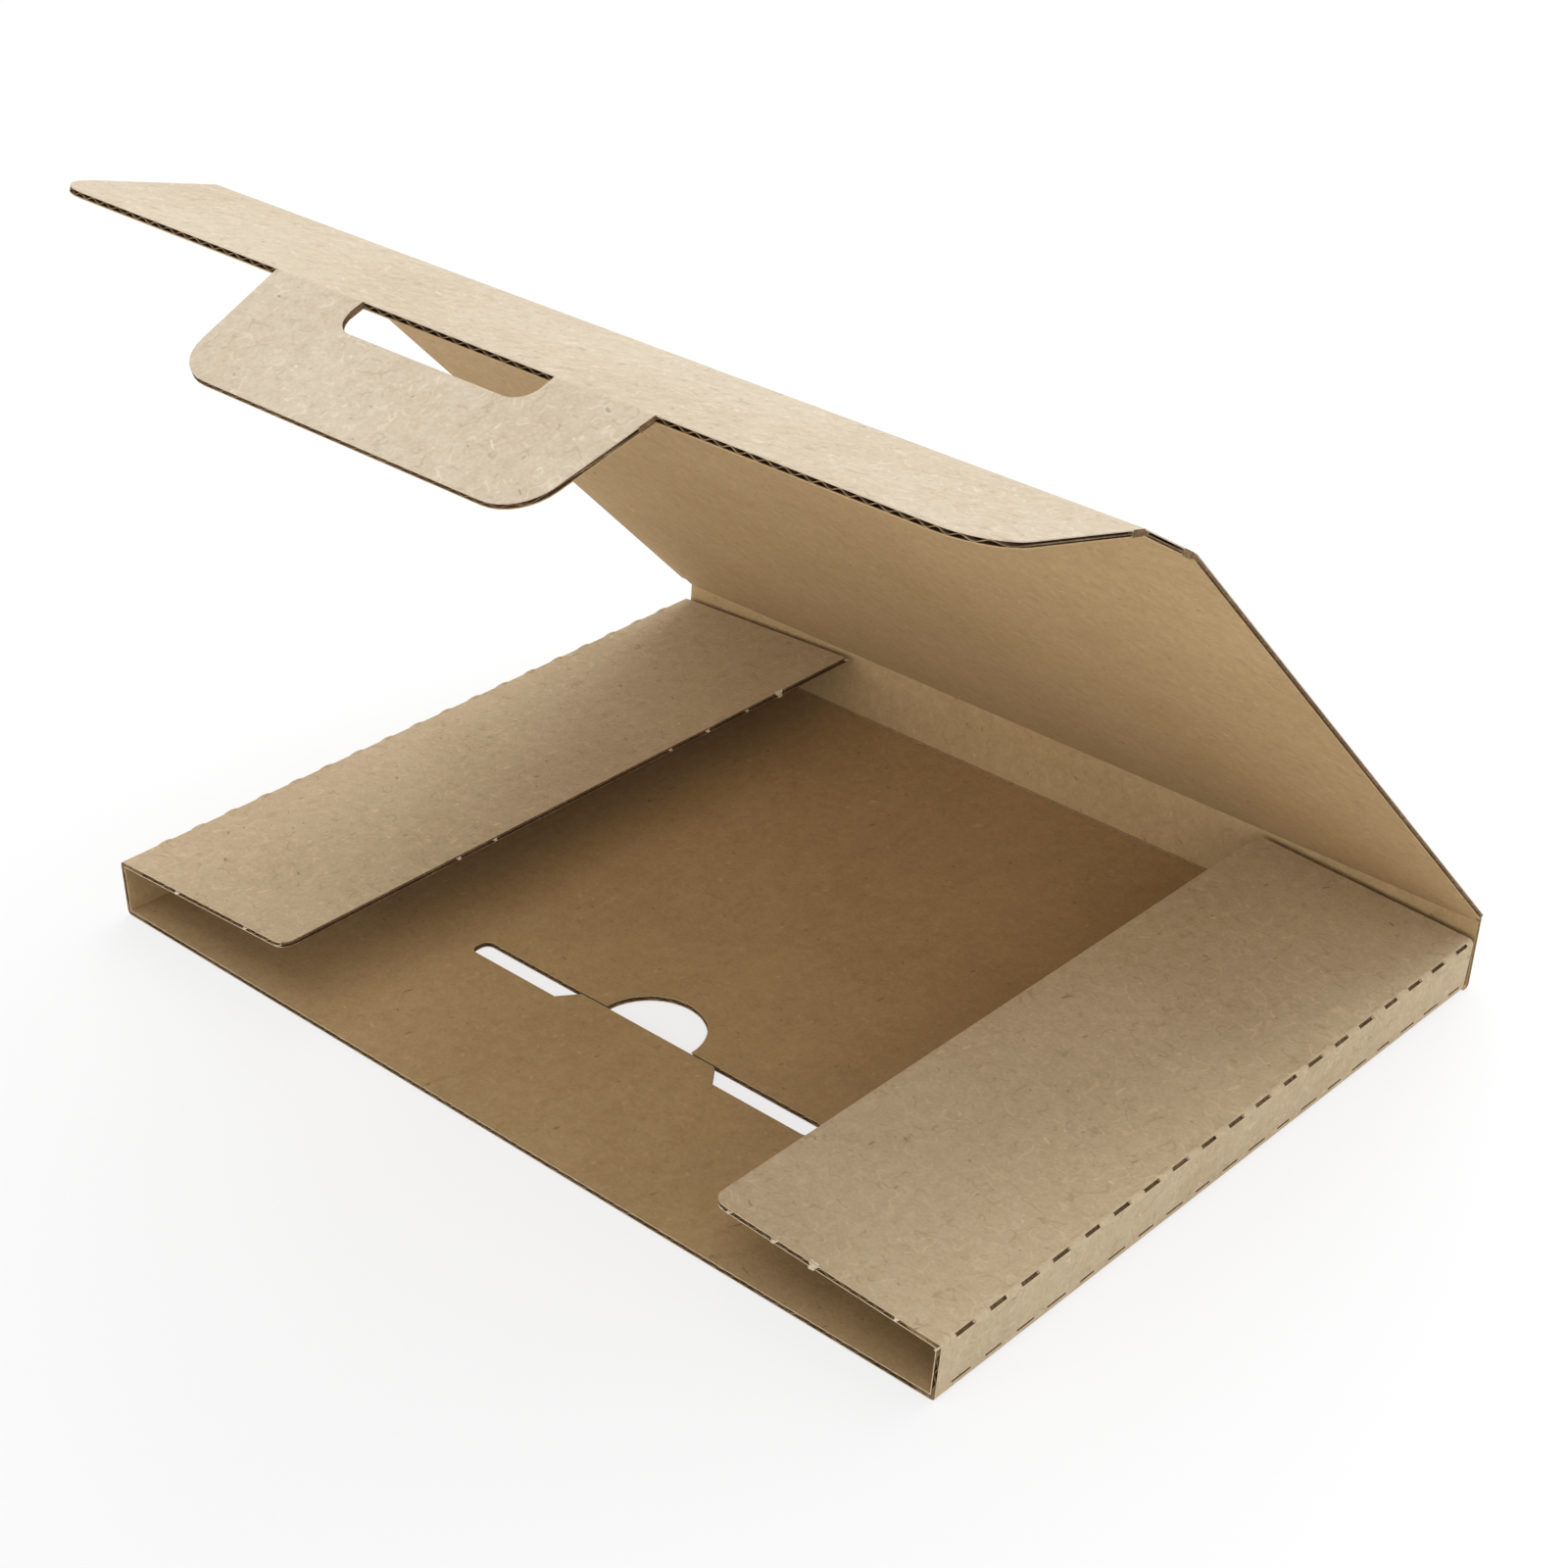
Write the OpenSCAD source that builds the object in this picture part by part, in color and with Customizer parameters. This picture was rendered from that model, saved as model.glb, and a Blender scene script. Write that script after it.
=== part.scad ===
// Flat mailer box of thin fluted card, cut and folded from one sheet, lid open.
// Millimetres. +Z up, +Y to the lid's hinge, origin under the middle of the base.

/* [Card] */
// Thickness of the fluted card
board = 1.1; // [0.9:0.1:1.6]

/* [Tray] */
// Width over the side folds
width = 192; // [160:1:240]
// Depth from the front edge to the back fold
depth = 150; // [120:1:200]
// Height of the side walls at their top fold
wall_height = 11.2; // [9:0.1:14]
// Outward lean of the side walls, degrees
wall_lean = 4; // [0:0.5:6]
// Outward lean of the back wall, degrees
back_lean = 4; // [0:0.5:6]
// Width of a side flap
flap_width = 46; // [30:1:52]
// Upward spring of the side flaps, degrees
flap_tilt = 3; // [0:0.5:4]
// Radius of the flaps' front corners
flap_corner = 2.5; // [1:0.5:6]
// Distance from the back fold to the end of the walls and flaps
back_gap = 2; // [1.8:0.1:4]

/* [Lid] */
// How far the lid is raised, degrees above level
lid_rise = 45.9; // [20:0.1:90]
// How far the lid reaches past the tray on each side
lid_overhang = 1.2; // [0.5:0.1:2]
// Fold of the front panel from the lid, degrees
front_fold = 13.7; // [0:0.1:60]
// Fold of the closing flap from the front panel, degrees
closing_fold = 17; // [0:0.1:60]
// Width of the closing flap, from fold to fold
closing_width = 34.4; // [28:0.2:44]
// Radius of the closing flap's free corners
closing_corner = 9; // [3:0.5:14]

/* [Lock] */
// Fold of the tab from the closing flap, degrees
tab_fold = 34.5; // [30:0.5:45]
// Width of the tab at its fold
tab_width = 78.5; // [50:0.5:90]
// How much narrower the tab is at its end, on each side
tab_taper = 3.2; // [0:0.1:6]
// Longest reach of the tab from its fold
tab_reach = 24; // [16:0.5:26]
// Radius of the tab's corners
tab_corner = 8; // [3:0.5:10]
// Width of the tongue at its root
tongue_width = 38; // [24:0.5:44]
// How much narrower the tongue is at its end, on each side
tongue_taper = 3; // [0:0.5:6]
// Depth of the cut-out in the tab that takes the tongue
notch_depth = 6.2; // [4:0.2:10]
// Radius of the finger notch
finger_radius = 10.2; // [8:0.2:13]

/* [Perforated folds] */
// Length of one cut
cut_length = 4; // [2:0.1:5]
// Distance from one cut to the next
cut_pitch = 7.7; // [6:0.1:12]
// Width of one cut
cut_width = 0.5; // [0.3:0.1:0.8]
// Distance from the front edge to the middle of the first cut
cut_start = 5.8; // [4:0.1:10]

/* [Hidden] */
$fn = 64;
kraft = [0.72, 0.60, 0.45];

// running gap of a moving fold, and the gaps left round the closed lid
fold_gap = 0.06;
flap_gap = 0.3;
front_gap = 0.5;
under_gap = 0.3;
slot_gap = 0.35;
die_cut = 0.4;
nose_lap = 2;

function ahead(at, rise, reach) = at + reach * [-cos(rise), sin(rise)];
function far(angle) = 3 * board * [cos(angle), sin(angle)];
function rim(at, angle, radius = board) = at + radius * [cos(angle), sin(angle)];
function arc(at, radius, from, to, steps) =
    [for (i = [0 : steps]) rim(at, from + (to - from) * i / steps, radius)];
// points round the outside of a still fold
function bend(at, from, to) = arc(at, board, from, to, 8);

wall_length = depth - back_gap;
wall_inner = wall_height - 2 * board;
wall_foot = [width / 2 - board, board];
wall_rise = 90 + wall_lean;
wall_top = ahead(wall_foot, wall_rise, wall_inner);
flap_reach = flap_width - board;
flap_fold = wall_rise - flap_tilt;
flap_end = ahead(wall_top, flap_tilt, flap_reach);
flap_edge_z = flap_end[1] + board * cos(flap_tilt);
cut_count = floor((wall_length - cut_start - cut_length) / cut_pitch) + 1;

hinge_z = flap_edge_z + flap_gap;
back_foot = [depth / 2 - board, board];
back_rise = 90 + back_lean;
back_inner = (hinge_z - board) / cos(back_lean);
hinge = ahead(back_foot, back_rise, back_inner);

lid_width = width + 2 * lid_overhang;
lid_length = hinge[0] + depth / 2 + front_gap;
front_width = lid_width - 1;
front_height = hinge_z + under_gap;
front_rise = lid_rise - front_fold;
front_axis = ahead(hinge, lid_rise, lid_length);
closing_rise = front_rise - closing_fold;
closing_axis = ahead(front_axis, front_rise, front_height);
tab_rise = closing_rise - tab_fold;
tab_axis = ahead(closing_axis, closing_rise, closing_width);
tab_length = min(tab_reach, (hinge_z + under_gap - 0.5) / sin(tab_fold));
notch_width = tongue_width + 2;

// the slot that the tab passes when the lid is closed
tab_y = closing_width - depth / 2 - front_gap;
slot_front = tab_y + under_gap / tan(tab_fold) - slot_gap;
slot_back = tab_y + (under_gap + board) / tan(tab_fold) + board / sin(tab_fold) + slot_gap;
slot_corner = 1.6;
slot_end = tab_width / 2 + 1.5 - slot_corner;

// stands a panel on its fold: local y runs along the panel, local z out of the box
module place(at, rise) {
    translate([0, at[0], at[1]])
        rotate([rise, 0, 180])
            children();
}

// puts what is drawn at the back on the right side
module on_right() {
    rotate([0, 0, -90])
        children();
}

// rounded outside of a fold about the local x axis, from the panel's own outer face,
// with a strip that laps into that panel
module nose(turn, length) {
    rotate([90, 0, 90])
        linear_extrude(length, center = true) {
            intersection() {
                circle(r = board);
                polygon([[0, 0], far(90), far(90 - turn / 2), far(90 - turn)]);
            }
            translate([-nose_lap, 0])
                square([nose_lap, board]);
        }
}

// clearance that lets a panel turn about the nose of the one before it
module nose_room(length) {
    rotate([0, 90, 0])
        cylinder(r = board + fold_gap, h = length, center = true);
}

// panel outline from its fold to its free end, with round corners there
module round_ended(root, end, reach, corner) {
    slant = atan((root - end) / 2 / reach);
    centre_y = reach - corner;
    centre_x = root / 2 - centre_y * tan(slant) - corner / cos(slant);
    side_x = centre_x + corner * cos(slant);
    side_y = centre_y + corner * sin(slant);
    polygon([
        [-root / 2, 0],
        [root / 2, 0],
        [side_x, side_y],
        [centre_x, reach],
        [-centre_x, reach],
        [-side_x, side_y]
    ]);
    for (side = [-1, 1])
        translate([side * centre_x, centre_y])
            circle(r = corner);
}

// right half of the cut in the base: round the tongue, the slot and the finger notch
function lock_cut() = concat(
    [[tongue_width / 2 - tongue_taper, slot_back - die_cut], [tongue_width / 2, slot_front]],
    arc([slot_end, slot_front + slot_corner], slot_corner, -90, 0, 6),
    arc([slot_end, slot_back - slot_corner], slot_corner, 0, 90, 6),
    arc([0, slot_back], finger_radius, 0, 87, 20)
);

module lock_outline() {
    right = lock_cut();
    left = [for (i = [len(right) - 1 : -1 : 0]) [-right[i][0], right[i][1]]];
    polygon(concat(right, left));
}

module base() {
    translate([board - width / 2, -depth / 2, 0])
        cube([width - 2 * board, depth - board, board]);
}

module base_cuts() {
    translate([0, 0, -1])
        linear_extrude(board + 2)
            lock_outline();
}

// rounds off a flap's front corner
module flap_cut() {
    translate([flap_end[0], -depth / 2, wall_top[1]])
        linear_extrude(5 * board)
            difference() {
                translate([-1, -1])
                    square(flap_corner + 1);
                translate([flap_corner, flap_corner])
                    circle(r = flap_corner);
            }
}

// section of a side from the base's edge to the flap's free edge
module side_section() {
    polygon(concat(
        [[wall_foot[0] - nose_lap, 0]],
        bend(wall_foot, -90, -wall_lean),
        bend(wall_top, -wall_lean, 90 - flap_tilt),
        [rim(flap_end, 90 - flap_tilt), flap_end, wall_top, wall_foot],
        [[wall_foot[0] - nose_lap, board]]
    ));
}

module side() {
    difference() {
        translate([0, wall_length - depth / 2, 0])
            rotate([90, 0, 0])
                linear_extrude(wall_length)
                    side_section();
        flap_cut();
    }
}

// one row of cuts through a side fold, across the middle of its rounding
module cut_row(fold) {
    for (i = [0 : cut_count - 1])
        translate([cut_start + i * cut_pitch - depth / 2, 0, 0])
            rotate([90 - fold / 2, 0, 0])
                translate([-cut_length / 2, -1, -cut_width / 2])
                    cube([cut_length, board + 2, cut_width]);
}

module side_cuts() {
    on_right() {
        place(wall_foot, 180)
            cut_row(180 - wall_rise);
        place(wall_top, wall_rise)
            cut_row(flap_fold);
    }
}

// section of the back wall from the base's edge to the lid's hinge
module back_section() {
    polygon(concat(
        [[back_foot[0] - nose_lap, 0]],
        bend(back_foot, -90, -back_lean),
        [rim(hinge, -back_lean), hinge, back_foot],
        [[back_foot[0] - nose_lap, board]]
    ));
}

module back_wall() {
    rotate([90, 0, 90])
        linear_extrude(width, center = true)
            back_section();
    place(hinge, back_rise)
        nose(90 + back_rise - lid_rise, width);
}

module tray() {
    color(kraft)
        difference() {
            union() {
                base();
                side();
                mirror([1, 0, 0])
                    side();
                back_wall();
            }
            base_cuts();
            side_cuts();
            mirror([1, 0, 0])
                side_cuts();
        }
}

// its root is square, so that the lid can turn right back behind the wall
module lid() {
    root = board + fold_gap;
    color(kraft)
        place(hinge, lid_rise) {
            translate([-lid_width / 2, root, 0])
                cube([lid_width, lid_length - root, board]);
            translate([0, lid_length, 0])
                nose(90 + front_fold, front_width);
        }
}

module front_panel() {
    color(kraft)
        place(front_axis, front_rise) {
            difference() {
                translate([-front_width / 2, 0, 0])
                    cube([front_width, front_height, board]);
                nose_room(front_width + 1);
            }
            translate([0, front_height, 0])
                nose(90 + closing_fold, front_width);
        }
}

module closing_flap() {
    tab_root = (tab_width - notch_width) / 2;
    color(kraft)
        place(closing_axis, closing_rise) {
            difference() {
                linear_extrude(board)
                    round_ended(front_width, front_width, closing_width, closing_corner);
                nose_room(front_width + 1);
            }
            for (side = [-1, 1])
                translate([side * (notch_width + tab_root) / 2, closing_width, 0])
                    nose(90 + tab_fold, tab_root);
        }
}

module lock_tab() {
    color(kraft)
        place(tab_axis, tab_rise)
            difference() {
                linear_extrude(board)
                    difference() {
                        round_ended(tab_width, tab_width - 2 * tab_taper, tab_length, tab_corner);
                        round_ended(notch_width, notch_width, notch_depth, 4);
                    }
                nose_room(tab_width + 1);
            }
}

tray();
lid();
front_panel();
closing_flap();
lock_tab();
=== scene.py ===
"""Open flat mailer of fluted kraft card: the card, its folds, cut edges and light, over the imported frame."""

import math

import bpy
from mathutils import Matrix, Vector


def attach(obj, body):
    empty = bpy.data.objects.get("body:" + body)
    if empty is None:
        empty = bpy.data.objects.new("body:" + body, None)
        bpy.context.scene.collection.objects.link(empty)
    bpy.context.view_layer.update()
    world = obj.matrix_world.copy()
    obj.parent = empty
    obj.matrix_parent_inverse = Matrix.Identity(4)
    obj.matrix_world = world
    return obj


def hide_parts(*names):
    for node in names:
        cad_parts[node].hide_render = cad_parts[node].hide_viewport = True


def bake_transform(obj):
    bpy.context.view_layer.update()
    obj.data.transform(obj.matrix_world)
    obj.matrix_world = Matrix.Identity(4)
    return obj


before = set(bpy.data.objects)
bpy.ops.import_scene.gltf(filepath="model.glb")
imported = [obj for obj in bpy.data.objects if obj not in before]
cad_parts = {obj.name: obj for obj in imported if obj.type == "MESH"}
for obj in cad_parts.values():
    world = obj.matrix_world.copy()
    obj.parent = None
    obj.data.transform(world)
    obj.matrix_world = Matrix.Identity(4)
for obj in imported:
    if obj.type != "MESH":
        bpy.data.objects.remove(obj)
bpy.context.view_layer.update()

# sizes of the card sheet, in millimetres, as in the part's source
BOARD = 1.1
WIDTH = 192.0
DEPTH = 150.0
WALL_HEIGHT = 11.2
WALL_LEAN = 4.0
BACK_LEAN = 4.0
FLAP_WIDTH = 46.0
FLAP_TILT = 3.0
FLAP_CORNER = 2.5
BACK_GAP = 2.0
LID_RISE = 45.9
FRONT_FOLD = 13.7
CLOSING_FOLD = 17.0
TAB_FOLD = 34.5
LID_WIDTH = 194.4
FRONT_WIDTH = 193.4
CLOSING_WIDTH = 34.4
CLOSING_CORNER = 9.0
TAB_WIDTH = 78.5
TAB_TAPER = 3.2
TAB_REACH = 24.0
TAB_CORNER = 8.0
TONGUE_WIDTH = 38.0
TONGUE_TAPER = 3.0
NOTCH_WIDTH = 40.0
NOTCH_DEPTH = 6.2
NOTCH_CORNER = 4.0
FINGER_RADIUS = 10.2
FLAP_GAP = 0.3
FRONT_GAP = 0.5
UNDER_GAP = 0.3
SLOT_GAP = 0.35
DIE_CUT = 0.4

# the flutes between the two liners; a hollow's points are shares of the pitch and of the height between them
FLUTE_PITCH = 3.2
LINER = 0.2
LINER_EDGE = 0.18
HOLLOW = ((-0.42, 1.0), (-0.375, 0.90), (-0.25, 0.64), (-0.125, 0.35), (0.0, 0.22),
          (0.125, 0.35), (0.25, 0.64), (0.375, 0.90), (0.42, 1.0))
BASE_FLUTES = 57
FLAP_FLUTES = 13
WALL_FLUTES = 2
# where the first flute of a wall and the last of a flap are, from the wall's foot and from the free edge
WALL_FLUTE = 2.4
FLAP_FLUTE = 0.4
# how far the flaps' and walls' hollows run out at the front, and at the back, short of the back wall
HOLLOW_LAP = 2.0
BACK_LAP = 0.4
# how far a panel's hollows run out of its open ends, and how far short of its next fold they stop
PANEL_LAP = 1.0
FOLD_STOP = 1.2

# the cuts along the side folds: their lengths in turn as shares of CUT_LENGTH, each row's width and depth,
# how far the card between them swells, and how high the lower row is over its fold
CUT_COUNT = 19
CUT_LENGTH = 4.4
CUT_LENGTHS = (1.0, 0.86, 0.95, 1.06, 0.8, 1.02, 0.9)
CUT_PITCH = 7.7
CUT_START = 5.8
TOP_CUT = (0.62, 0.5)
TOP_SWELL = 0.26
LOW_CUT = (0.38, 0.35)
LOW_SWELL = 0.06
LOW_ROW = 0.7
# swollen card between two cuts: half its thickness, half its breadth, and how far it laps the cuts
RIDGE_THICK = 0.62
RIDGE_BROAD = 0.95
RIDGE_LAP = 0.35

# how far a folded panel stands back from its crease, and how much of the base is made with the back wall
CREASE = 2.5
BACK_STRIP = 0.6

MM = 0.001


def ahead(at, rise, reach):
    turn = math.radians(rise)
    return (at[0] - reach * math.cos(turn), at[1] + reach * math.sin(turn))


def rim(at, angle):
    turn = math.radians(angle)
    return (at[0] + BOARD * math.cos(turn), at[1] + BOARD * math.sin(turn))


def bend(at, first, last, steps=10):
    return [rim(at, first + (last - first) * i / steps) for i in range(steps + 1)]


# points of the folds: (x, z) for the sides, (y, z) for the lid's chain
WALL_FOOT = (WIDTH / 2 - BOARD, BOARD)
WALL_TOP = ahead(WALL_FOOT, 90 + WALL_LEAN, WALL_HEIGHT - 2 * BOARD)
FLAP_END = ahead(WALL_TOP, FLAP_TILT, FLAP_WIDTH - BOARD)
HINGE_Z = FLAP_END[1] + BOARD * math.cos(math.radians(FLAP_TILT)) + FLAP_GAP
BACK_FOOT = (DEPTH / 2 - BOARD, BOARD)
BACK_RISE = 90 + BACK_LEAN
HINGE = ahead(BACK_FOOT, BACK_RISE, (HINGE_Z - BOARD) / math.cos(math.radians(BACK_LEAN)))
LID_LENGTH = HINGE[0] + DEPTH / 2 + FRONT_GAP
FRONT_HEIGHT = HINGE_Z + UNDER_GAP
FRONT_RISE = LID_RISE - FRONT_FOLD
CLOSING_RISE = FRONT_RISE - CLOSING_FOLD
TAB_RISE = CLOSING_RISE - TAB_FOLD
FRONT_AXIS = ahead(HINGE, LID_RISE, LID_LENGTH)
CLOSING_AXIS = ahead(FRONT_AXIS, FRONT_RISE, FRONT_HEIGHT)
TAB_AXIS = ahead(CLOSING_AXIS, CLOSING_RISE, CLOSING_WIDTH)

TAB_Y = CLOSING_WIDTH - DEPTH / 2 - FRONT_GAP
TAB_TURN = math.radians(TAB_FOLD)
SLOT_FRONT = TAB_Y + UNDER_GAP / math.tan(TAB_TURN) - SLOT_GAP
SLOT_BACK = TAB_Y + (UNDER_GAP + BOARD) / math.tan(TAB_TURN) + BOARD / math.sin(TAB_TURN) + SLOT_GAP
SLOT_LENGTH = TAB_WIDTH + 3.0
SLOT_CORNER = 1.6


# ---- materials

def new_material(name):
    material = bpy.data.materials.new(name)
    material.use_nodes = True
    material.node_tree.nodes.clear()
    return material


def add_node(material, kind, settings=None, **inputs):
    """Node of a material or world; an input is given by its name, or by its number as i0, i1 and so on."""
    node = material.node_tree.nodes.new(kind)
    for key, value in (settings or {}).items():
        setattr(node, key, value)
    for key, value in inputs.items():
        by_number = key[0] == "i" and key[1:].isdigit()
        socket = node.inputs[int(key[1:]) if by_number else key.replace("_", " ")]
        if isinstance(value, bpy.types.NodeSocket):
            material.node_tree.links.new(value, socket)
        else:
            socket.default_value = value
    return node


def maths(material, operation, first, second):
    return add_node(material, "ShaderNodeMath", {"operation": operation}, i0=first, i1=second).outputs[0]


def noise(material, place, scale, detail, roughness=0.5):
    return add_node(material, "ShaderNodeTexNoise", Vector=place, Scale=scale, Detail=detail,
                    Roughness=roughness).outputs["Fac"]


def spread(material, value, first, last, low=0.0, high=1.0):
    """Value from first to last, spread over low to high and held there at both ends."""
    return add_node(material, "ShaderNodeMapRange", Value=value, From_Min=first, From_Max=last,
                    To_Min=low, To_Max=high).outputs[0]


def colour_ramp(material, value, stops):
    ramp = add_node(material, "ShaderNodeValToRGB", Fac=value)
    elements = ramp.color_ramp.elements
    while len(elements) < len(stops):
        elements.new(0.5)
    for element, (place, colour) in zip(elements, stops):
        element.position = place
        element.color = (*colour, 1)
    return ramp.outputs["Color"]


def mixed(material, blend, amount, first, second):
    settings = {"data_type": "RGBA", "blend_type": blend}
    return add_node(material, "ShaderNodeMix", settings, i0=amount, i6=first, i7=second).outputs[2]


def from_srgb(red, green, blue):
    def straight(part):
        part /= 255
        return part / 12.92 if part <= 0.04045 else ((part + 0.055) / 1.055) ** 2.4
    return (straight(red), straight(green), straight(blue))


def curled_fibres(m, place, scale, thickness):
    """Short curled fibres, pale and dark: thin contour lines of a noise, left standing only in patches."""
    curl = noise(m, place, scale, 1.0)
    patch = noise(m, place, 1.6 * scale, 0.0)
    fibres = []
    for level, bare, full in ((0.53, 0.52, 0.60), (0.47, 0.45, 0.37)):
        away = maths(m, "ABSOLUTE", maths(m, "SUBTRACT", curl, level), 0.0)
        line = spread(m, away, thickness, 0.0)
        kept = spread(m, patch, bare, full)
        fibres.append(maths(m, "MULTIPLY", line, kept))
    return fibres


def flecks(m, place, turn, size):
    """Scattered specks of one direction, dark and pale: the lowest and highest spots of a stretched noise."""
    laid = add_node(m, "ShaderNodeMapping", {"vector_type": "TEXTURE"}, Vector=place, Rotation=turn,
                    Scale=size)
    spots = noise(m, laid.outputs[0], 1.0, 0.0)
    return spread(m, spots, 0.165, 0.12), spread(m, spots, 0.81, 0.86)


# sizes of the paper's patterns, in repeats to a metre
CLOUD_SCALE = 26.0
MOTTLE_SCALE = 420.0
GRAIN_SCALE = 1500.0
FIBRE_SCALE = 245.0
EDGE_PATCH_SCALE = 140.0


def kraft_liner(name, pale, deep, fibre=1.0):
    """Face of the card: cloudy kraft brown, pale and dark fibres, faint lines of the flutes below."""
    m = new_material(name)
    place = add_node(m, "ShaderNodeTexCoord").outputs["Object"]
    clouds = noise(m, place, CLOUD_SCALE, 2.0, roughness=0.6)
    mottle = noise(m, place, MOTTLE_SCALE, 3.0, roughness=0.6)
    grain = noise(m, place, GRAIN_SCALE, 2.0, roughness=0.6)
    blend = maths(m, "ADD", maths(m, "MULTIPLY", clouds, 0.30), maths(m, "MULTIPLY", mottle, 0.34))
    blend = maths(m, "ADD", blend, maths(m, "MULTIPLY", grain, 0.36))
    colour = colour_ramp(m, blend, [(0.34, deep), (0.66, pale)])

    light = tuple(min(1.0, 1.22 * part) for part in pale)
    dark = (0.60 * deep[0], 0.54 * deep[1], 0.46 * deep[2])
    speck = (0.34 * deep[0], 0.27 * deep[1], 0.20 * deep[2])
    pale_fibre, dark_fibre = curled_fibres(m, place, FIBRE_SCALE, 0.032)
    first = flecks(m, place, (-0.3, 0.2, 1.3), (0.0030, 0.0011, 0.0014))
    second = flecks(m, place, (0.4, 0.5, -0.3), (0.0026, 0.0010, 0.0012))
    dark_speck, pale_speck = [maths(m, "MAXIMUM", one, other) for one, other in zip(first, second)]
    colour = mixed(m, "MIX", maths(m, "MULTIPLY", pale_fibre, 0.38 * fibre), colour, (*light, 1))
    colour = mixed(m, "MIX", maths(m, "MULTIPLY", dark_fibre, 0.34 * fibre), colour, (*dark, 1))
    colour = mixed(m, "MIX", maths(m, "MULTIPLY", pale_speck, 0.50), colour, (*light, 1))
    colour = mixed(m, "MIX", maths(m, "MULTIPLY", dark_speck, 0.45), colour, (*speck, 1))

    # faint ribs of the flutes, across x, or up the side walls where the face looks sideways
    parts = add_node(m, "ShaderNodeSeparateXYZ", Vector=place)
    normal = add_node(m, "ShaderNodeNewGeometry").outputs["Normal"]
    facing = add_node(m, "ShaderNodeSeparateXYZ", Vector=normal)
    sideways = maths(m, "GREATER_THAN", maths(m, "ABSOLUTE", facing.outputs[0], 0.0), 0.7)
    along = add_node(m, "ShaderNodeMix", {"data_type": "FLOAT"}, i0=sideways, i2=parts.outputs[0],
                     i3=parts.outputs[2])
    ribs = maths(m, "SINE", maths(m, "MULTIPLY", along.outputs[0], 2 * math.pi / (FLUTE_PITCH * MM)), 0.0)
    rib_level = spread(m, ribs, -1.0, 1.0, 0.985, 1.0)
    shade = add_node(m, "ShaderNodeCombineColor", i0=rib_level, i1=rib_level, i2=rib_level).outputs[0]
    colour = mixed(m, "MULTIPLY", 1.0, colour, shade)

    height = maths(m, "ADD", maths(m, "MULTIPLY", grain, 0.75), maths(m, "MULTIPLY", ribs, 0.10))
    bump = add_node(m, "ShaderNodeBump", Height=height, Strength=0.38, Distance=0.00018).outputs[0]
    rough = spread(m, mottle, 0.0, 1.0, 0.78, 0.95)
    shader = add_node(m, "ShaderNodeBsdfPrincipled", Base_Color=colour, Roughness=rough, Normal=bump)
    shader.inputs["Specular IOR Level"].default_value = 0.28
    add_node(m, "ShaderNodeOutputMaterial", Surface=shader.outputs[0])
    return m


def cut_edge():
    """Raw edge of the card and the inside of its flutes: darker browns, partly the medium's own colour and
    partly painted shade in the hollows.
    """
    m = new_material("kraft_cut_edge")
    place = add_node(m, "ShaderNodeTexCoord").outputs["Object"]
    fuzz = noise(m, place, GRAIN_SCALE, 4.0, roughness=0.7)
    patch = noise(m, place, EDGE_PATCH_SCALE, 3.0)
    blend = maths(m, "ADD", maths(m, "MULTIPLY", fuzz, 0.6), maths(m, "MULTIPLY", patch, 0.4))
    # darker browns: the fluting's own colour with painted shade of the hollows laid into it
    colour = colour_ramp(m, blend, [(0.36, from_srgb(92, 70, 48)), (0.52, from_srgb(124, 99, 72)),
                                    (0.68, from_srgb(160, 134, 104))])
    bump = add_node(m, "ShaderNodeBump", Height=fuzz, Strength=0.8, Distance=0.0002).outputs[0]
    shader = add_node(m, "ShaderNodeBsdfPrincipled", Base_Color=colour, Roughness=0.95, Normal=bump)
    shader.inputs["Specular IOR Level"].default_value = 0.15
    add_node(m, "ShaderNodeOutputMaterial", Surface=shader.outputs[0])
    return m


OUTER = kraft_liner("kraft_outer", from_srgb(214, 200, 178), from_srgb(190, 172, 147))
# the same outer liner again, browner and darker for the tray's outside: painted shade and warm bounce of the
# lid over the flaps
TRAY_OUTER_PAINTED_SHADE = kraft_liner("kraft_tray_outer_painted_shade", from_srgb(210, 191, 160), from_srgb(184, 162, 129))
INNER = kraft_liner("kraft_inner", from_srgb(189, 161, 119), from_srgb(168, 139, 98), fibre=0.6)
EDGE = cut_edge()
TORN = kraft_liner("kraft_torn", from_srgb(230, 216, 195), from_srgb(206, 188, 162))
CARD_FINISHES = (OUTER, INNER, EDGE, TORN)
OUTER_SLOT, INNER_SLOT, EDGE_SLOT, TORN_SLOT = 0, 1, 2, 3


# ---- making shapes, in millimetres

def select_only(piece):
    if bpy.context.mode != "OBJECT":
        bpy.ops.object.mode_set(mode="OBJECT")
    bpy.ops.object.select_all(action="DESELECT")
    piece.select_set(True)
    bpy.context.view_layer.objects.active = piece


def select_parts(piece, kind, chosen):
    """Opens a piece in edit mode with only the chosen vertices, edges or faces selected."""
    select_only(piece)
    bpy.ops.object.mode_set(mode="EDIT")
    bpy.ops.mesh.select_mode(type=kind)
    bpy.ops.mesh.select_all(action="DESELECT")
    bpy.ops.object.mode_set(mode="OBJECT")
    parts = {"VERT": piece.data.vertices, "EDGE": piece.data.edges, "FACE": piece.data.polygons}
    for part in parts[kind]:
        part.select = chosen(part)
    bpy.ops.object.mode_set(mode="EDIT")


def give_finishes(piece):
    for material in CARD_FINISHES:
        piece.data.materials.append(material)


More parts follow.
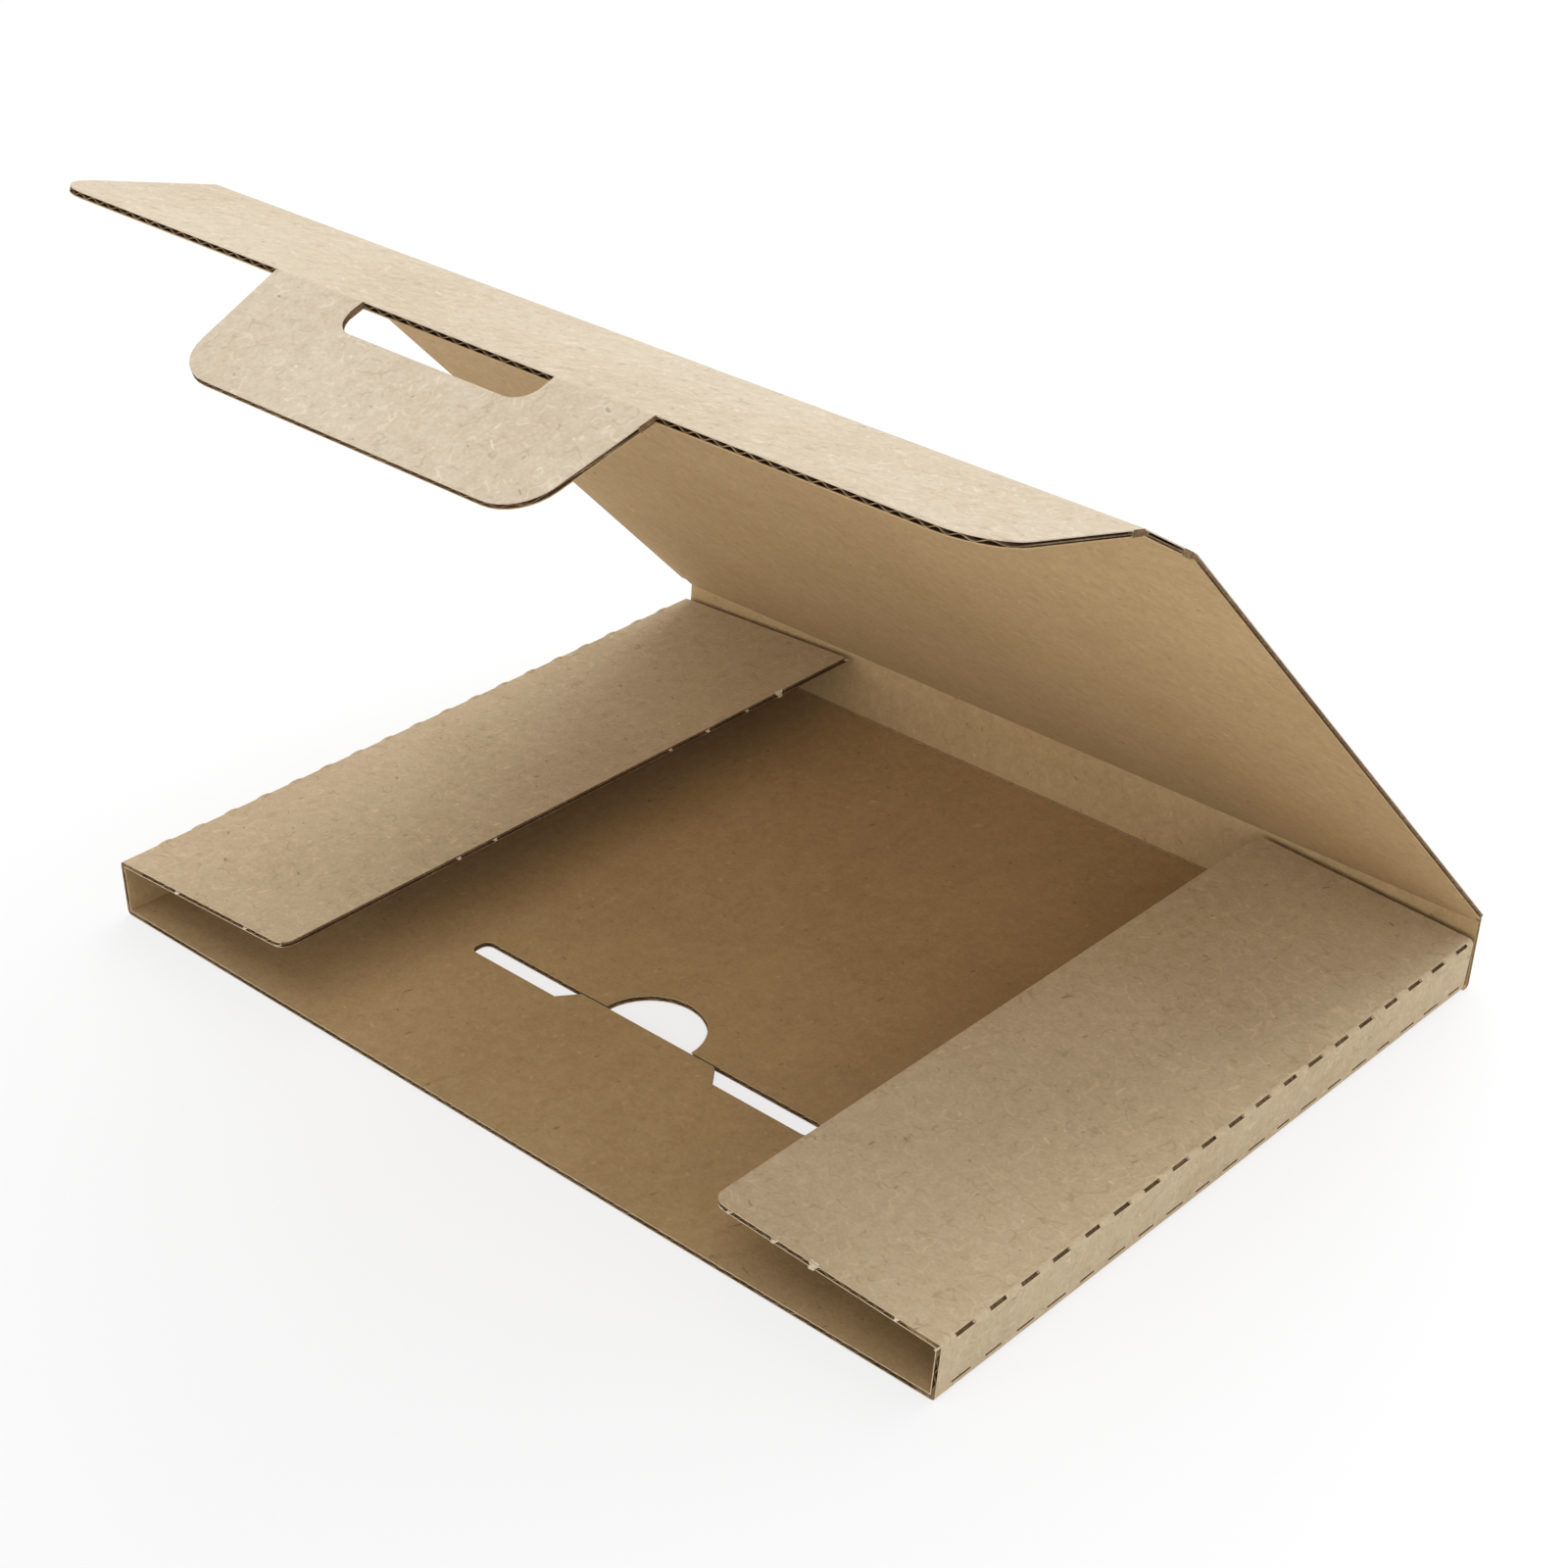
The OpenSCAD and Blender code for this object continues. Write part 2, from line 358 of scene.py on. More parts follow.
def drawn(name, outline, depth):
    """Outline drawn point by point in the x-y plane and raised by depth."""
    if bpy.context.mode != "OBJECT":
        bpy.ops.object.mode_set(mode="OBJECT")
    bpy.ops.object.select_all(action="DESELECT")
    bpy.ops.mesh.primitive_plane_add(size=1, location=(0, 0, 0))
    piece = bpy.context.object
    piece.name = name
    give_finishes(piece)
    bpy.ops.object.mode_set(mode="EDIT")
    bpy.ops.mesh.select_mode(type="VERT")
    bpy.ops.mesh.select_all(action="SELECT")
    bpy.ops.mesh.merge(type="CENTER")
    bpy.ops.mesh.select_all(action="SELECT")
    bpy.ops.transform.translate(value=(*outline[0], 0))
    for start, end in zip(outline, outline[1:]):
        step = (end[0] - start[0], end[1] - start[1], 0)
        bpy.ops.mesh.extrude_vertices_move(TRANSFORM_OT_translate={"value": step})
    # close the line from its last point to its first, then fill it
    bpy.ops.object.mode_set(mode="OBJECT")
    piece.data.vertices[0].select = True
    bpy.ops.object.mode_set(mode="EDIT")
    bpy.ops.mesh.edge_face_add()
    bpy.ops.mesh.select_all(action="SELECT")
    bpy.ops.mesh.edge_face_add()
    bpy.ops.mesh.extrude_region_move(TRANSFORM_OT_translate={"value": (0, 0, depth)})
    bpy.ops.mesh.select_all(action="SELECT")
    bpy.ops.mesh.normals_make_consistent(inside=False)
    bpy.ops.object.mode_set(mode="OBJECT")
    return piece


def put(piece, turn=(0, 0, 0), at=(0, 0, 0)):
    """Turns a piece by degrees about x, y and z, moves it, and fixes that in its mesh."""
    select_only(piece)
    piece.rotation_euler = [math.radians(angle) for angle in turn]
    piece.location = at
    bpy.ops.object.transform_apply(location=True, rotation=True, scale=True)
    return piece


def row_of(piece, count, step):
    select_only(piece)
    bpy.ops.object.modifier_add(type="ARRAY")
    row = piece.modifiers[-1]
    row.count = count
    row.use_relative_offset = False
    row.use_constant_offset = True
    row.constant_offset_displace = step
    bpy.ops.object.modifier_apply(modifier=row.name)
    return piece


def joined(name, *pieces):
    select_only(pieces[0])
    for piece in pieces[1:]:
        piece.select_set(True)
    bpy.ops.object.join()
    pieces[0].name = name
    return pieces[0]


def combined(piece, tool, operation):
    select_only(piece)
    bpy.ops.object.modifier_add(type="BOOLEAN")
    step = piece.modifiers[-1]
    step.operation = operation
    step.solver = "EXACT"
    step.material_mode = "TRANSFER"
    step.object = tool
    bpy.ops.object.modifier_apply(modifier=step.name)
    bpy.data.objects.remove(tool)
    return piece


def all_edge(tool):
    for face in tool.data.polygons:
        face.material_index = EDGE_SLOT
    return tool


def scaled_copy(piece, size):
    """Copy of a piece with its own mesh, scaled about the origin."""
    select_only(piece)
    bpy.ops.object.duplicate(linked=False)
    copy = bpy.context.object
    copy.scale = size
    bpy.ops.object.transform_apply(location=False, rotation=False, scale=True)
    return copy


def mirrored(piece):
    """Copy of a piece on the other side of the box."""
    twin = scaled_copy(piece, (-1, 1, 1))
    bpy.ops.object.mode_set(mode="EDIT")
    bpy.ops.mesh.select_all(action="SELECT")
    bpy.ops.mesh.normals_make_consistent(inside=False)
    bpy.ops.object.mode_set(mode="OBJECT")
    return twin


def scored(piece, chosen, planes):
    """Divides the chosen faces along planes, so that the liners can be told apart on a raw edge."""
    for point, normal in planes:
        select_parts(piece, "FACE", chosen)
        bpy.ops.mesh.bisect(plane_co=point, plane_no=normal)
        bpy.ops.object.mode_set(mode="OBJECT")


def is_upright(face):
    return abs(face.normal.z) < 0.7


def liner_edges(piece, upper, lower):
    """Marks both liners on the raw edge of a board that lies between z = 0 and its thickness."""
    scored(piece, is_upright, [((0, 0, LINER_EDGE), (0, 0, 1)), ((0, 0, BOARD - LINER_EDGE), (0, 0, 1))])
    for face in piece.data.polygons:
        if is_upright(face):
            height = face.center.z
            face.material_index = EDGE_SLOT
            if height > BOARD - LINER_EDGE:
                face.material_index = upper
            elif height < LINER_EDGE:
                face.material_index = lower
    return piece


def flute_hollows(name, count, length):
    """Hollows of a row of flutes in a board lying in x-y: the medium between them is what stays."""
    depth = BOARD - 2 * LINER
    above = [(x * FLUTE_PITCH, LINER + z * depth) for x, z in HOLLOW]
    below = [((x + 0.5) * FLUTE_PITCH, BOARD - LINER - z * depth) for x, z in HOLLOW]
    rows = []
    for outline in (above, below):
        rows.append(put(drawn(name, outline, length), turn=(90, 0, 0), at=(0, length, 0)))
    hollows = row_of(joined(name, *rows), count, (FLUTE_PITCH, 0, 0))
    return all_edge(hollows)


def face_looks(piece):
    """Liner on both faces of a flat board, raw edge on its sides."""
    for face in piece.data.polygons:
        if face.normal.z > 0.7:
            face.material_index = OUTER_SLOT
        elif face.normal.z < -0.7:
            face.material_index = INNER_SLOT
        else:
            face.material_index = EDGE_SLOT
    return piece


def arc(centre, radius, first, last, steps):
    points = []
    for i in range(steps + 1):
        turn = math.radians(first + (last - first) * i / steps)
        points.append((centre[0] + radius * math.cos(turn), centre[1] + radius * math.sin(turn)))
    return points


def round_ended(root, end, first, reach, corner):
    """Panel outline from y = first to its free end, with round corners there."""
    slant = math.degrees(math.atan((root - end) / 2 / reach))
    centre_y = reach - corner
    centre_x = root / 2 - centre_y * math.tan(math.radians(slant)) - corner / math.cos(math.radians(slant))
    foot_x = root / 2 - first * math.tan(math.radians(slant))
    right = [(foot_x, first)] + arc((centre_x, centre_y), corner, slant, 90, 8)
    return right + [(-x, y) for x, y in reversed(right)]


def finished(piece, body, *nodes):
    """Metres, smooth bends beside flat faces, and its place on the moving frame."""
    select_only(piece)
    piece.scale = (MM, MM, MM)
    bpy.ops.object.transform_apply(location=True, rotation=True, scale=True)
    bpy.ops.object.shade_smooth_by_angle(angle=math.radians(25))
    bpy.ops.object.modifier_add(type="WEIGHTED_NORMAL")
    flat = piece.modifiers[-1]
    flat.keep_sharp = True
    bpy.ops.object.modifier_apply(modifier=flat.name)
    if nodes:
        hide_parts(*nodes)
    if body:
        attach(piece, body)


# ---- the tray

def tray_sides():
    """Base, side walls and side flaps, bent from one strip."""
    right = bend(WALL_FOOT, -90, -WALL_LEAN) + bend(WALL_TOP, -WALL_LEAN, 90 - FLAP_TILT)
    right += [rim(FLAP_END, 90 - FLAP_TILT), FLAP_END, WALL_TOP, WALL_FOOT]
    section = right + [(-x, z) for x, z in reversed(right)]
    length = DEPTH - BACK_GAP
    sides = put(drawn("tray_card", section, length), turn=(90, 0, 0), at=(0, length - DEPTH / 2, 0))

    def at_front_corner(edge):
        ends = [sides.data.vertices[i].co for i in edge.vertices]
        upright = abs(ends[0].z - ends[1].z) > BOARD / 2 and abs(ends[0].y - ends[1].y) < 0.01
        in_place = [abs(abs(p.x) - FLAP_END[0]) < 0.2 and p.y < 0 and p.z > WALL_TOP[1] for p in ends]
        return upright and all(in_place)

    # round the front inner corners of the two flaps
    select_parts(sides, "EDGE", at_front_corner)
    bpy.ops.mesh.bevel(offset=FLAP_CORNER, segments=5, affect="EDGES")
    bpy.ops.object.mode_set(mode="OBJECT")
    return sides


def tray_back():
    """Strip of the base and the back wall, up to the crease of the lid."""
    start = BACK_FOOT[0] - BACK_STRIP
    section = [(start, 0)] + bend(BACK_FOOT, -90, -BACK_LEAN)
    section += [rim(HINGE, -BACK_LEAN), HINGE, BACK_FOOT, (start, BOARD)]
    return put(drawn("back_card", section, WIDTH), turn=(90, 0, 90), at=(-WIDTH / 2, 0, 0))


def from_inside(point, corners):
    """How far a point of a raw edge is from the card's inner face, given by its corners."""
    nearest = None
    for start, end in zip(corners, corners[1:]):
        start, end = Vector(start), Vector(end)
        share = (Vector(point) - start).dot(end - start) / (end - start).length_squared
        away = (Vector(point) - start - (end - start) * min(1.0, max(0.0, share))).length
        nearest = away if nearest is None else min(nearest, away)
    return nearest


def edge_look(point, corners):
    away = from_inside(point, corners)
    if away > BOARD - LINER_EDGE:
        return OUTER_SLOT
    return INNER_SLOT if away < LINER_EDGE else EDGE_SLOT


def is_front_edge(face):
    return abs(face.normal.y) > 0.99 and (face.center.y < 1 - DEPTH / 2 or abs(face.center.x) > 45)


def is_back_end(face):
    at_side = abs(face.normal.x) > 0.99 and abs(face.center.x) > WIDTH / 2 - 0.1
    return at_side and face.center.y > BACK_FOOT[0] - BACK_STRIP - 0.1


def liner_planes():
    """Planes between the liners and the flutes of the base, the walls, the flaps and the back wall."""
    ends, back = [], []
    for depth in (LINER_EDGE, BOARD - LINER_EDGE):
        ends.append(((0, 0, BOARD - depth), (0, 0, 1)))
        for side in (-1, 1):
            for at, angle in ((WALL_FOOT, -WALL_LEAN), (WALL_TOP, 90 - FLAP_TILT)):
                out = (math.cos(math.radians(angle)), math.sin(math.radians(angle)))
                point = (side * (at[0] + depth * out[0]), 0, at[1] + depth * out[1])
                ends.append((point, (side * out[0], 0, out[1])))
        out = (math.cos(math.radians(BACK_LEAN)), -math.sin(math.radians(BACK_LEAN)))
        back.append(((0, BACK_FOOT[0] + depth * out[0], BACK_FOOT[1] + depth * out[1]), (0, out[0], out[1])))
    return ends, back


def tray_looks(piece):
    ends, back = liner_planes()
    scored(piece, is_front_edge, ends)
    scored(piece, is_back_end, back)
    side_corners = ((0, BOARD), WALL_FOOT, WALL_TOP, FLAP_END)
    back_corners = ((0, BOARD), BACK_FOOT, HINGE)
    for face in piece.data.polygons:
        middle, out = face.center, face.normal
        under_flap = out.z < -0.7 and middle.z > WALL_TOP[1] - 0.5
        in_wall = abs(out.x) > 0.7 and out.x * middle.x < 0 and abs(middle.x) > 90
        on_base = out.z > 0.7 and middle.z < BOARD + 0.1
        in_back = out.y < -0.7 and middle.y > BACK_FOOT[0] - 0.2
        flap_edge = abs(out.x) > 0.7 and abs(middle.x) < 60
        if is_front_edge(face) and not in_back:
            face.material_index = edge_look((abs(middle.x), middle.z), side_corners)
        elif is_back_end(face):
            face.material_index = edge_look((middle.y, middle.z), back_corners)
        elif flap_edge:
            face.material_index = EDGE_SLOT
        elif under_flap or in_wall or on_base or in_back:
            face.material_index = INNER_SLOT
        else:
            face.material_index = OUTER_SLOT


def slot_outline():
    """Slot for the tab, the line round the tongue's tip and the finger notch, as one cut."""
    tip = SLOT_BACK - DIE_CUT
    end = SLOT_LENGTH / 2
    front = arc((end - SLOT_CORNER, SLOT_FRONT + SLOT_CORNER), SLOT_CORNER, -90, 0, 5)
    back = arc((end - SLOT_CORNER, SLOT_BACK - SLOT_CORNER), SLOT_CORNER, 0, 90, 5)
    right = [(TONGUE_WIDTH / 2 - TONGUE_TAPER, tip), (TONGUE_WIDTH / 2, SLOT_FRONT)] + front + back
    right += arc((0, SLOT_BACK), FINGER_RADIUS, 0, 85, 14)
    return right + [(0, SLOT_BACK + FINGER_RADIUS)] + [(-x, y) for x, y in reversed(right)]


def fold_cuts(at, angle, cut):
    """Row of cuts into a side fold from outside, short of its inner liner; cut is their width and depth."""
    half = cut[0] / 2
    first, last = BOARD - cut[1], 2.2 * BOARD
    slit = drawn("fold_cut", [(first, -half), (last, -half), (last, half), (first, half)], CUT_LENGTH)
    put(slit, turn=(90, 0, 0), at=(0, CUT_LENGTH / 2, 0))
    put(slit, turn=(0, -angle, 0))
    slits = []
    for i in range(CUT_COUNT):
        copy = scaled_copy(slit, (1, CUT_LENGTHS[i % len(CUT_LENGTHS)], 1))
        slits.append(put(copy, at=(at[0], CUT_START - DEPTH / 2 + i * CUT_PITCH, at[1])))
    bpy.data.objects.remove(slit)
    return all_edge(joined("fold_cuts", *slits))


def fold_ridges(at, angle, swell):
    """Uncut card between two cuts, which swells where it is bent."""
    bpy.ops.object.select_all(action="DESELECT")
    bpy.ops.mesh.primitive_uv_sphere_add(segments=14, ring_count=8, radius=1)
    ridge = bpy.context.object
    ridge.name = "fold_ridge"
    give_finishes(ridge)
    ridge.scale = (RIDGE_THICK, (CUT_PITCH - CUT_LENGTH) / 2 + RIDGE_LAP, RIDGE_BROAD)
    bpy.ops.object.transform_apply(location=False, rotation=False, scale=True)
    bpy.ops.object.mode_set(mode="EDIT")
    bpy.ops.mesh.select_all(action="SELECT")
    bpy.ops.transform.vertex_random(offset=0.05, seed=4)
    bpy.ops.object.mode_set(mode="OBJECT")
    put(ridge, at=(BOARD + swell - RIDGE_THICK, 0, 0))
    put(ridge, turn=(0, -angle, 0), at=(at[0], CUT_START + CUT_PITCH / 2 - DEPTH / 2, at[1]))
    return row_of(ridge, CUT_COUNT - 1, (0, CUT_PITCH, 0))


def torn_tuft():
    """Flake of liner that tore loose where the sheet was held in its cutting frame."""
    bpy.ops.object.select_all(action="DESELECT")
    bpy.ops.mesh.primitive_grid_add(x_subdivisions=7, y_subdivisions=5, size=1)
    tuft = bpy.context.object
    tuft.name = "torn_tuft"
    give_finishes(tuft)
    tuft.scale = (1.5, 1.1, 1.0)
    bpy.ops.object.transform_apply(location=False, rotation=False, scale=True)
    select_parts(tuft, "VERT", lambda vertex: vertex.co.y > 0.1)
    bpy.ops.transform.resize(value=(0.6, 1.0, 1.0), center_override=(0.1, 0, 0))
    bpy.ops.mesh.select_all(action="SELECT")
    bpy.ops.mesh.extrude_region_move(TRANSFORM_OT_translate={"value": (0, 0, 0.16)})
    bpy.ops.mesh.select_all(action="SELECT")
    bpy.ops.transform.vertex_random(offset=0.12, seed=7)
    bpy.ops.mesh.normals_make_consistent(inside=False)
    bpy.ops.object.mode_set(mode="OBJECT")
    for face in tuft.data.polygons:
        face.material_index = TORN_SLOT
    return tuft


def tufts_along(places):
    """Copies of the torn tuft, each with its place, its turn and its size."""
    pattern = torn_tuft()
    tufts = []
    for at, turn, size in places:
        tufts.append(put(scaled_copy(pattern, size), turn=turn, at=at))
    bpy.data.objects.remove(pattern)
    return tufts


def tray_tufts():
    """Tufts along the flaps' free edges and front edges: place on the edge, droop in degrees, size."""
    edge_x, edge_z = FLAP_END[0], FLAP_END[1] + 0.62
    front, back = -DEPTH / 2, DEPTH / 2 - BACK_GAP
    inner = [(52.6, -62, 1.25), (43.0, -25, 0.75), (31.7, -38, 0.8), (21.2, -30, 0.7), (-25.1, -35, 0.7),
             (-34.1, -28, 0.8)]
    places = [((-edge_x, y, edge_z), (droop, 0, -90), (size, size, size)) for y, droop, size in inner]
    far_inner = [(-46.0, -30, 0.7), (8.0, -40, 0.8), (61.0, -35, 0.75)]
    places += [((edge_x, y, edge_z), (droop, 0, 90), (size, size, size)) for y, droop, size in far_inner]
    places.append(((-edge_x, back, edge_z), (-15, 0, -40), (0.8, 0.9, 0.8)))
    slope = math.tan(math.radians(FLAP_TILT))
    front_row = [(54.6, -20, 0.7), (63.8, -32, 0.9), (71.7, -48, 1.2), (88.0, -25, 0.6), (-61.0, -30, 0.7),
                 (-80.0, -35, 0.8)]
    for x, droop, size in front_row:
        places.append(((x, front, edge_z - (abs(x) - edge_x) * slope), (droop, 0, 180), (size, size, size)))
    places.append(((WALL_TOP[0] + 0.4, front, WALL_TOP[1] + 0.2), (-20, 40, 180), (1.0, 0.8, 0.9)))
    places.append(((-WALL_TOP[0] - 0.3, back, WALL_TOP[1] + 0.3), (-25, -40, 10), (1.0, 0.8, 0.9)))
    return tufts_along(places)


def make_tray():
    tray = combined(tray_sides(), tray_back(), "UNION")
    tray_looks(tray)
    reach = HOLLOW_LAP + DEPTH - BACK_GAP + BACK_LAP
    front = -DEPTH / 2 - HOLLOW_LAP
    # the base's hollows end inside the card, because the back wall closes them
    base = flute_hollows("base_hollows", BASE_FLUTES, DEPTH - BACK_GAP - 1)
    put(base, at=(-(BASE_FLUTES // 2) * FLUTE_PITCH, -DEPTH / 2 - 1, 0))
    combined(tray, base, "DIFFERENCE")

    # flap hollows run in from the free edge, wall hollows stand on the wall
    flap = flute_hollows("flap_hollows", FLAP_FLUTES, reach)
    put(flap, at=(FLAP_WIDTH - BOARD - FLAP_FLUTE - (FLAP_FLUTES - 1) * FLUTE_PITCH, 0, 0))
    outside = rim(WALL_TOP, 90 - FLAP_TILT)
    put(flap, turn=(0, 180 + FLAP_TILT, 0), at=(outside[0], front, outside[1]))
    combined(tray, mirrored(flap), "DIFFERENCE")
    combined(tray, flap, "DIFFERENCE")

    wall = put(flute_hollows("wall_hollows", WALL_FLUTES, reach), at=(WALL_FLUTE, 0, 0))
    outside = rim(WALL_FOOT, -WALL_LEAN)
    put(wall, turn=(0, WALL_LEAN - 90, 0), at=(outside[0], front, outside[1]))
    combined(tray, mirrored(wall), "DIFFERENCE")
    combined(tray, wall, "DIFFERENCE")

    slot = put(drawn("tab_slot", slot_outline(), 2 * BOARD), at=(0, 0, -BOARD / 2))
    combined(tray, liner_edges(slot, INNER_SLOT, OUTER_SLOT), "DIFFERENCE")
    ridges = []
    low = ahead(WALL_FOOT, 90 + WALL_LEAN, LOW_ROW)
    top_angle = 45 - (WALL_LEAN + FLAP_TILT) / 2
    rows = ((low, -WALL_LEAN, LOW_CUT, LOW_SWELL), (WALL_TOP, top_angle, TOP_CUT, TOP_SWELL))
    for at, angle, cut, swell in rows:
        cuts = fold_cuts(at, angle, cut)
        combined(tray, mirrored(cuts), "DIFFERENCE")
        combined(tray, cuts, "DIFFERENCE")
        ridge = fold_ridges(at, angle, swell)
        ridges += [ridge, mirrored(ridge)]
    joined("tray_card", tray, *ridges, *tray_tufts())
    # the tray's outer faces, walls and flaps alike, take the browner copy of the outer liner: painted shade of
    # the lid
    tray.data.materials[OUTER_SLOT] = TRAY_OUTER_PAINTED_SHADE
    finished(tray, "tray", "tray")


# ---- the lid's chain of panels

def fluted_panel(name, outline, first, last, at, rise, trims=()):
    """Flat panel with hollows along it, stood on its fold."""
    panel = liner_edges(face_looks(drawn(name, outline, BOARD)), OUTER_SLOT, INNER_SLOT)
    for trim in trims:
        tool = liner_edges(put(drawn("trim", trim, 3 * BOARD), at=(0, 0, -BOARD)), OUTER_SLOT, INNER_SLOT)
        combined(panel, tool, "DIFFERENCE")
    widest = max(abs(x) for x, y in outline)
    half = math.ceil(widest / FLUTE_PITCH)
    hollows = flute_hollows(name + "_hollows", 2 * half + 1, last - first)
    put(hollows, at=(-half * FLUTE_PITCH, first, 0))
    combined(panel, hollows, "DIFFERENCE")
    put(panel, turn=(rise, 0, 180), at=(0, at[0], at[1]))
    return panel


def narrowed(strip, at, rise, outer_x, slant):
    """Moves the far outer corner of a crease in, to meet the slanted side of the next panel."""
    turn = math.radians(rise)

    def at_far_corner(vertex):
        reach = (at[0] - vertex.co.y) * math.cos(turn) + (vertex.co.z - at[1]) * math.sin(turn)
        return abs(vertex.co.x - outer_x) < 0.01 and reach > CREASE - 0.1

    select_parts(strip, "VERT", at_far_corner)
    bpy.ops.transform.translate(value=(-math.copysign(slant, outer_x), 0, 0))
    bpy.ops.object.mode_set(mode="OBJECT")


def crease(name, at, rise, next_rise, span, slant=0.0):
    """Crushed card over a fold that moves, attached to neither panel: rounded from one panel's angle to the
    next as they stand at rest, and narrows as the next one does.
    """
    section = bend(at, 90 - rise, 90 - next_rise)
    far = ahead(at, next_rise, CREASE)
    section += [rim(far, 90 - next_rise), far, at]
    strip = drawn(name, section, span[1] - span[0])
    put(strip, turn=(90, 0, 90), at=(span[0], 0, 0))
    if slant:
        narrowed(strip, at, next_rise, max(span, key=abs), slant)
    for face in strip.data.polygons:
        if abs(face.normal.x) > 0.9:
            face.material_index = EDGE_SLOT
        else:
            inner = face.normal.z < 0
            face.material_index = INNER_SLOT if inner else OUTER_SLOT
    finished(strip, None)
    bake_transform(strip)


def plain_outline(width, first, last):
    return [(-width / 2, first), (width / 2, first), (width / 2, last), (-width / 2, last)]


def make_lid_chain():
    first = CREASE - PANEL_LAP
    lid = fluted_panel("lid_card", plain_outline(LID_WIDTH, CREASE, LID_LENGTH), first,
                       LID_LENGTH - FOLD_STOP, HINGE, LID_RISE)
    finished(lid, "lid", "lid")
    front = fluted_panel("front_card", plain_outline(FRONT_WIDTH, CREASE, FRONT_HEIGHT), first,
                         FRONT_HEIGHT - FOLD_STOP, FRONT_AXIS, FRONT_RISE)
    finished(front, "front_panel", "front_panel")
    closing = fluted_panel("closing_card",
                           round_ended(FRONT_WIDTH, FRONT_WIDTH, CREASE, CLOSING_WIDTH, CLOSING_CORNER),
                           first, CLOSING_WIDTH + PANEL_LAP, CLOSING_AXIS, CLOSING_RISE)
    finished(closing, "closing_flap", "closing_flap")
    notch = round_ended(NOTCH_WIDTH, NOTCH_WIDTH, 0, NOTCH_DEPTH, NOTCH_CORNER)
    tab = fluted_panel("tab_card",
                       round_ended(TAB_WIDTH, TAB_WIDTH - 2 * TAB_TAPER, CREASE, TAB_REACH, TAB_CORNER),
                       first, TAB_REACH + PANEL_LAP, TAB_AXIS, TAB_RISE, trims=[notch])
    finished(tab, "lock_tab", "lock_tab")

    half = WIDTH / 2
    crease("lid_crease", HINGE, BACK_RISE, LID_RISE, (-half, half))
    half = FRONT_WIDTH / 2
    crease("front_crease", FRONT_AXIS, LID_RISE, FRONT_RISE, (-half, half))
    crease("closing_crease", CLOSING_AXIS, FRONT_RISE, CLOSING_RISE, (-half, half))
    inner, outer = NOTCH_WIDTH / 2, TAB_WIDTH / 2
    for side, span in (("left", (-outer, -inner)), ("right", (inner, outer))):
        crease("tab_crease_" + side, TAB_AXIS, CLOSING_RISE, TAB_RISE, span,
               slant=CREASE * TAB_TAPER / TAB_REACH)


# ---- the studio

DOME_LEVEL = 0.35
LIT_POINT = (0, 0, 0.05)
WHITE = (1, 1, 1)
# name, place, size in metres, watts, tint
SOFTBOXES = (
    ("overhead_softbox", (-0.2, 0, 3.4), (4.5, 4.5), 74.0, (0.96, 0.98, 1.0)),
    ("back_softbox", (-0.6, 2.9, 2.4), (4.3, 2.4), 96.0, WHITE),
    ("front_fill", (0, -3.5, 0.85), (5.4, 1.65), 58.0, WHITE),
    ("right_fill", (3.4, -0.4, 1.15), (4.6, 2.2), 31.0, (0.93, 0.965, 1.0)),
)
# share of white that the camera sees on the floor near the box, and between which distances from the middle,
# in metres, it grows to 1
FLOOR_WHITE = 0.74
FLOOR_NEAR, FLOOR_FAR = 0.4, 1.6

# the photograph's camera: degrees, millimetres, and its focal length in pixels of the frame
PHOTO_AZIMUTH, PHOTO_ELEVATION, PHOTO_ROLL = 41.444, 30.248, 1.228
PHOTO_TARGET = (-8.085, 6.392, 28.8)
PHOTO_DISTANCE = 537.018
PHOTO_FOCAL = 3053.7
FRAME_PIXELS = 1600
SENSOR = 36


def backdrop_material(name):
    """Mostly white to the camera near the box, where it keeps the shadow, and all white far off."""
    m = new_material(name)
    place = add_node(m, "ShaderNodeTexCoord").outputs["Object"]
    away = add_node(m, "ShaderNodeVectorMath", {"operation": "LENGTH"}, i0=place).outputs["Value"]
    share = spread(m, away, FLOOR_NEAR, FLOOR_FAR, FLOOR_WHITE, 1.0)
    path = add_node(m, "ShaderNodeLightPath")
    seen = maths(m, "ADD", path.outputs["Is Camera Ray"], path.outputs["Is Glossy Ray"])
    seen = maths(m, "ADD", seen, path.outputs["Is Transmission Ray"])
    seen = maths(m, "MULTIPLY", maths(m, "MINIMUM", seen, 1.0), share)
    plain = add_node(m, "ShaderNodeBsdfDiffuse", Color=(0.90, 0.90, 0.91, 1))
    glow = add_node(m, "ShaderNodeEmission", Color=(1, 1, 1, 1), Strength=1.0)
    mix = add_node(m, "ShaderNodeMixShader", i0=seen, i1=plain.outputs[0], i2=glow.outputs[0])
    add_node(m, "ShaderNodeOutputMaterial", Surface=mix.outputs[0])
    return m


def softbox(name, at, size, power, tint):
    bpy.ops.object.select_all(action="DESELECT")
    bpy.ops.object.light_add(type="AREA", location=at)
    lamp = bpy.context.object
    lamp.name = name
    lamp.data.shape = "RECTANGLE"
    lamp.data.size, lamp.data.size_y = size
    lamp.data.energy = power
    lamp.data.color = tint
    lamp.rotation_euler = (Vector(LIT_POINT) - Vector(at)).to_track_quat("-Z", "Y").to_euler()


